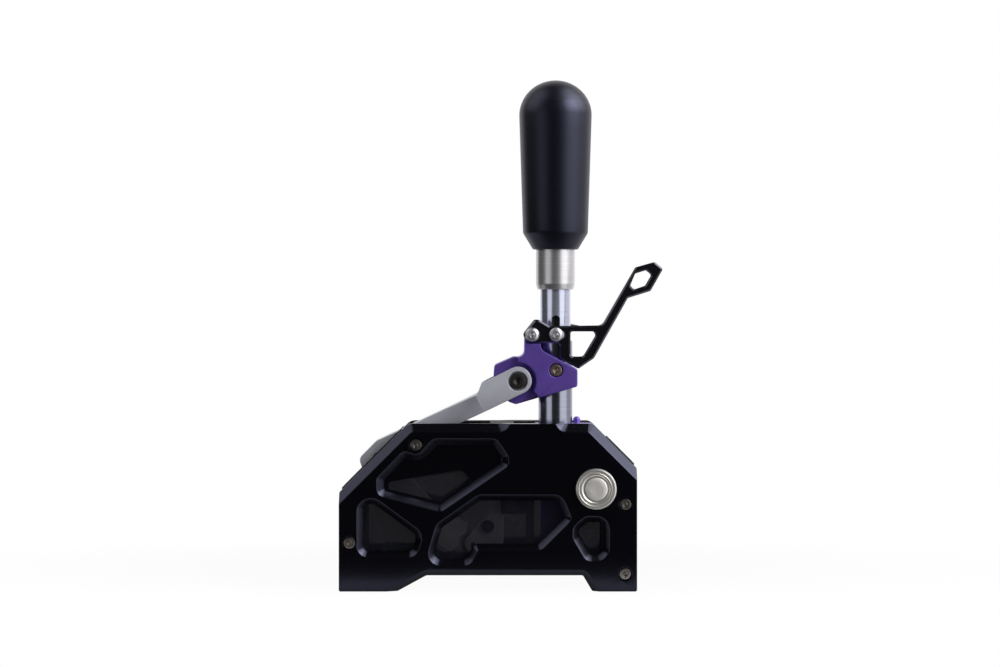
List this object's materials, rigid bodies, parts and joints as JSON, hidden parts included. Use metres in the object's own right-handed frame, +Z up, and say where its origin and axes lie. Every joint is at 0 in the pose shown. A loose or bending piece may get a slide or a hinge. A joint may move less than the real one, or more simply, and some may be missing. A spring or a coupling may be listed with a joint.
{
  "type": "sim racing gear shifter",
  "caption": "Desk-rig sequential gear shifter: windowed black side plates, steel lever with tall knob, purple bracket, silver fork link, lockout lever and push button.",
  "frame": {"origin": "centre of the base bolt pattern, on the plane that the feet stand on", "axes": "+X from the front of the body to the driver's end, +Y from the left side plate (with the button) to the right side plate, +Z up"},
  "size_m": [0.174, 0.0486, 0.276],
  "materials": {
    "black_plate": "satin black anodised",
    "smoked_window": "smoked clear sheet",
    "dark_alloy": "black anodised",
    "black_cover": "satin black",
    "screw_steel": "plain socket screw steel",
    "bright_steel": "ground steel",
    "lock_screw_steel": "bright stainless",
    "spring_steel": "plain spring steel",
    "silver_alloy": "blasted silver anodised",
    "inner_alloy": "machined",
    "purple_alloy": "satin purple anodised",
    "bush_bronze": "turned",
    "bracket_screw_steel": "plain socket screw steel",
    "black_bolt": "black oxide steel",
    "roller_steel": "ground steel",
    "magnet_metal": "plated",
    "tube_steel": "polished steel",
    "collar_steel": "polished steel",
    "knob_black": "turned, black anodised",
    "lock_black": "satin black anodised",
    "board_green": "circuit board",
    "button_steel": "turned stainless",
    "button_cap_steel": "turned stainless"
  },
  "bodies": {
    "frame": {"left_side_plate": "black_plate", "right_side_plate": "black_plate", "left_windows": "smoked_window", "right_windows": "smoked_window", "front_block": "dark_alloy", "rear_block": "dark_alloy", "bottom_plate": "black_cover", "bottom_screws": "screw_steel", "top_cover": "black_cover", "front_cover": "black_cover", "rear_cover": "black_cover", "rear_cover_screws": "screw_steel", "side_plate_screws": "screw_steel", "lever_axle": "bright_steel", "rocker_axle": "bright_steel", "detent_bracket": "dark_alloy", "detent_axle": "bright_steel", "detent_spring": "spring_steel", "lockout_gate": "inner_alloy", "gate_screws": "screw_steel", "controller_board": "board_green", "board_standoffs": "bush_bronze", "sensor_board": "board_green", "usb_socket": "button_steel", "button_housing": "button_steel", "button_nut": "button_steel"},
    "lever": {"lever_socket": "purple_alloy", "lever_bushes": "bush_bronze", "socket_grub_screws": "black_bolt", "sensor_magnet": "magnet_metal", "lever_tube": "tube_steel", "knob_adapter": "collar_steel", "gear_knob": "knob_black", "link_bracket": "purple_alloy", "bracket_screws": "bracket_screw_steel", "link_bolts": "black_bolt", "lockout_pivot_screws": "lock_screw_steel", "lockout_spring": "spring_steel"},
    "link": {"push_link": "silver_alloy", "link_pin": "bright_steel"},
    "rocker": {"rocker": "inner_alloy", "rocker_bushes": "bush_bronze"},
    "detent": {"detent_arm": "inner_alloy", "detent_arm_bolt": "black_bolt", "roller_pin": "bright_steel"},
    "roller": {"detent_roller": "roller_steel"},
    "lockout": {"lockout_lever": "lock_black", "lockout_partner": "lock_black"},
    "rod": {"lockout_rod": "black_bolt", "lockout_cross_pin": "lock_screw_steel", "gate_pin": "bright_steel"},
    "button": {"button_cap": "button_cap_steel"}
  },
  "joints": [
    {"name": "lever_pivot", "type": "hinge", "parent": "frame", "child": "lever", "pos_m": [0.0367, 0, 0.022], "axis": [0, 1, 0], "range_deg": [-5.5, 5.5], "stiffness_Nm_per_rad": 80},
    {"name": "link_pivot", "type": "hinge", "parent": "lever", "child": "link", "pos_m": [0.0161, 0, 0.1126], "axis": [0, 1, 0], "range_deg": [-3, 3]},
    {"name": "rocker_pivot", "type": "hinge", "parent": "frame", "child": "rocker", "pos_m": [-0.032, 0, 0.037], "axis": [0, 1, 0], "range_deg": [-11.5, 11.5]},
    {"name": "lockout_pivot", "type": "hinge", "parent": "lever", "child": "lockout", "pos_m": [0.0239, 0, 0.1377], "axis": [0, -1, 0], "range_deg": [0, 22.5]},
    {"name": "lockout_slide", "type": "slide", "parent": "lever", "child": "rod", "axis": [0, 0, 1], "range_m": [0, 0.005], "stiffness_N_per_m": 900, "springref_m": -0.002, "deforming": ["lockout_spring"]},
    {"name": "detent_pivot", "type": "hinge", "parent": "frame", "child": "detent", "pos_m": [0.0125, 0, 0.0453], "axis": [0, -1, 0], "range_deg": [0, 4], "stiffness_Nm_per_rad": 5, "springref_deg": -3.44, "deforming": ["detent_spring"]},
    {"name": "roller_spin", "type": "hinge", "parent": "detent", "child": "roller", "pos_m": [-0.00829, 0, 0.02347], "axis": [0, 1, 0], "continuous": true},
    {"name": "button_press", "type": "slide", "parent": "frame", "child": "button", "axis": [0, 1, 0], "range_m": [0, 0.001], "stiffness_N_per_m": 400, "springref_m": -0.002}
  ],
  "couplings": [
    {"joint": "link_pivot", "follows": "lever_pivot", "ratio": -0.5084},
    {"joint": "rocker_pivot", "follows": "lever_pivot", "ratio": 2.0522},
    {"joint": "lockout_pivot", "follows": "lockout_slide", "rad_per_m": 75.76}
  ]
}
